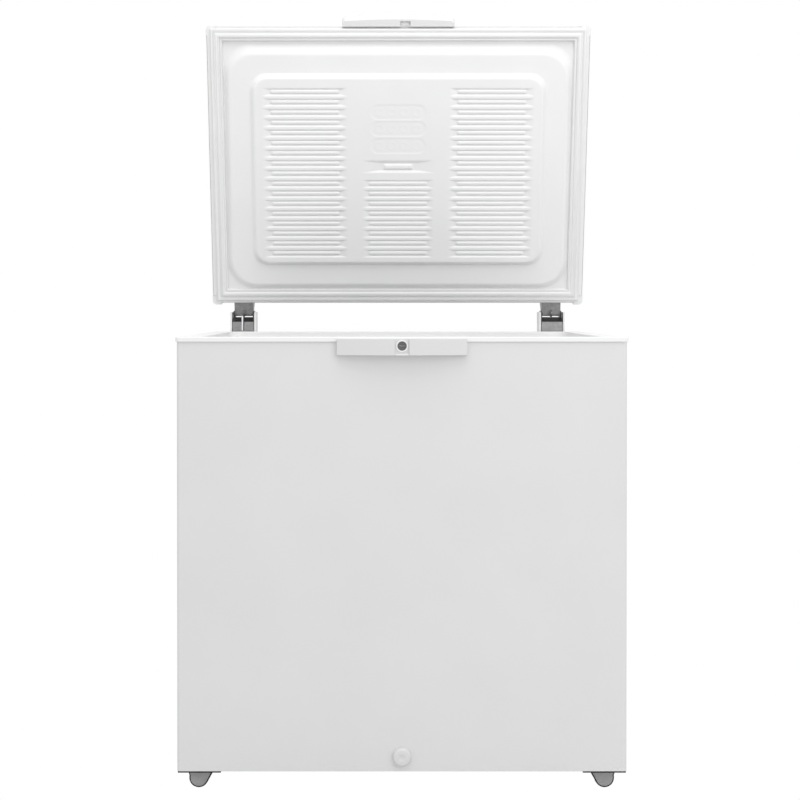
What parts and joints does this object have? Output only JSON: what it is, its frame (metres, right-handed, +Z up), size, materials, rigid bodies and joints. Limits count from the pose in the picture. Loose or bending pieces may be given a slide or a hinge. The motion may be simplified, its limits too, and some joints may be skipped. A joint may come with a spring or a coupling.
{
  "type": "chest freezer",
  "caption": "Free-standing white chest freezer on casters, with a foam-filled hinged lid held open by spring hinges, a lockable handle, a stepped tub and a wire basket.",
  "frame": {"origin": "on the floor under the middle of the overall box with the lid open", "axes": "+Z up, front towards -Y, +X to the right seen from the front"},
  "size_m": [0.806, 0.6567, 1.466],
  "materials": {
    "painted_white": "satin",
    "white_plastic": "satin",
    "liner_metal": "satin",
    "galvanised_steel": "satin",
    "gasket_vinyl": "satin",
    "foam": "matte",
    "black_steel": "satin",
    "black_plastic": "matte",
    "grey_plastic": "matte",
    "rubber_black": "matte",
    "copper": "satin",
    "tube_steel": "satin",
    "tube_aluminium": "satin",
    "dark_metal": "satin",
    "steel_pin": "satin",
    "coated_wire": "gloss",
    "lamp_lens": "gloss"
  },
  "bodies": {
    "cabinet": {"cabinet_shell": "painted_white", "rear_panel": "galvanised_steel", "base_panel": "galvanised_steel", "compressor_plate": "galvanised_steel", "bay_lining": "galvanised_steel", "rear_cover": "galvanised_steel", "insulation_foam": "foam", "inner_liner": "liner_metal", "top_frame": "white_plastic", "evaporator_tube": "tube_aluminium", "condenser_tube": "tube_steel", "compressor": "black_steel", "compressor_grommets": "rubber_black", "start_relay_cover": "black_plastic", "filter_drier": "copper", "condenser_pipes": "copper", "evaporator_pipes": "copper", "cord_gland": "black_plastic", "side_grille": "white_plastic", "control_panel": "white_plastic", "indicator_lamps": "lamp_lens", "thermostat_body": "black_plastic", "drain_pipe": "grey_plastic", "lock_housing": "white_plastic", "lock_collar": "white_plastic", "hinge_bracket_left": "galvanised_steel", "hinge_bracket_right": "galvanised_steel", "hinge_cover_left": "white_plastic", "hinge_cover_right": "white_plastic", "hinge_spring_left": "steel_pin", "hinge_spring_right": "steel_pin", "hinge_pins": "steel_pin", "hinge_screws_cabinet": "steel_pin", "caster_axles": "steel_pin", "caster_bracket_front_left": "black_steel", "caster_bracket_front_right": "black_steel", "caster_bracket_rear_left": "black_steel", "caster_bracket_rear_right": "black_steel"},
    "lid": {"lid_outer_shell": "painted_white", "lid_foam": "foam", "lid_liner": "white_plastic", "lid_gasket": "gasket_vinyl", "lid_corner_caps": "white_plastic", "lid_handle": "white_plastic", "hinge_arm_left": "galvanised_steel", "hinge_arm_right": "galvanised_steel", "hinge_screws_lid": "steel_pin"},
    "plunger_left": {"spring_plunger_left": "black_plastic"},
    "plunger_right": {"spring_plunger_right": "black_plastic"},
    "lock": {"lock_barrel": "dark_metal", "lock_cam": "steel_pin"},
    "thermostat": {"thermostat_knob": "grey_plastic"},
    "fast_freeze": {"fast_freeze_button": "grey_plastic"},
    "front_drain_cap": {"drain_cap": "white_plastic"},
    "tub_drain_plug": {"drain_plug": "rubber_black"},
    "basket": {"storage_basket": "coated_wire"},
    "wheel_front_left": {"caster_wheel_front_left": "grey_plastic"},
    "wheel_front_right": {"caster_wheel_front_right": "grey_plastic"},
    "wheel_rear_left": {"caster_wheel_rear_left": "grey_plastic"},
    "wheel_rear_right": {"caster_wheel_rear_right": "grey_plastic"}
  },
  "joints": [
    {"name": "lid_hinge", "type": "hinge", "parent": "cabinet", "child": "lid", "pos_m": [0, 0.30361, 0.833], "axis": [-1, 0, 0], "range_deg": [-78.5, 0], "stiffness_Nm_per_rad": 10, "springref_deg": 25.78},
    {"name": "plunger_left_slide", "type": "slide", "parent": "cabinet", "child": "plunger_left", "axis": [0, 0, 1], "range_m": [-0.0138, 0], "deforming": ["hinge_spring_left"]},
    {"name": "plunger_right_slide", "type": "slide", "parent": "cabinet", "child": "plunger_right", "axis": [0, 0, 1], "range_m": [-0.0138, 0], "deforming": ["hinge_spring_right"]},
    {"name": "lock_turn", "type": "hinge", "parent": "cabinet", "child": "lock", "pos_m": [0, -0.3204, 0.782], "axis": [0, -1, 0], "range_deg": [0, 84]},
    {"name": "thermostat_turn", "type": "hinge", "parent": "cabinet", "child": "thermostat", "pos_m": [0.3939, -0.20139, 0.1953], "axis": [-1, 0, 0], "range_deg": [0, 270]},
    {"name": "fast_freeze_press", "type": "slide", "parent": "cabinet", "child": "fast_freeze", "axis": [-1, 0, 0], "range_m": [0, 0.0025], "stiffness_N_per_m": 300, "springref_m": -0.002},
    {"name": "front_drain_cap_pull", "type": "slide", "parent": "cabinet", "child": "front_drain_cap", "axis": [0, -1, 0], "range_m": [0, 0.03]},
    {"name": "tub_drain_plug_lift", "type": "slide", "parent": "cabinet", "child": "tub_drain_plug", "axis": [0, 0, 1], "range_m": [0, 0.03]},
    {"name": "basket_slide", "type": "slide", "parent": "cabinet", "child": "basket", "axis": [1, 0, 0], "range_m": [-0.43, 0]},
    {"name": "wheel_front_left_spin", "type": "hinge", "parent": "cabinet", "child": "wheel_front_left", "pos_m": [-0.3585, -0.26939, 0.0175], "axis": [0, 1, 0], "continuous": true},
    {"name": "wheel_front_right_spin", "type": "hinge", "parent": "cabinet", "child": "wheel_front_right", "pos_m": [0.3585, -0.26939, 0.0175], "axis": [0, 1, 0], "continuous": true},
    {"name": "wheel_rear_left_spin", "type": "hinge", "parent": "cabinet", "child": "wheel_rear_left", "pos_m": [-0.3585, 0.22461, 0.0175], "axis": [0, 1, 0], "continuous": true},
    {"name": "wheel_rear_right_spin", "type": "hinge", "parent": "cabinet", "child": "wheel_rear_right", "pos_m": [0.3585, 0.22461, 0.0175], "axis": [0, 1, 0], "continuous": true}
  ],
  "couplings": [
    {"joint": "plunger_left_slide", "follows": "lid_hinge", "m_per_rad": 0.01},
    {"joint": "plunger_right_slide", "follows": "lid_hinge", "m_per_rad": 0.01}
  ]
}
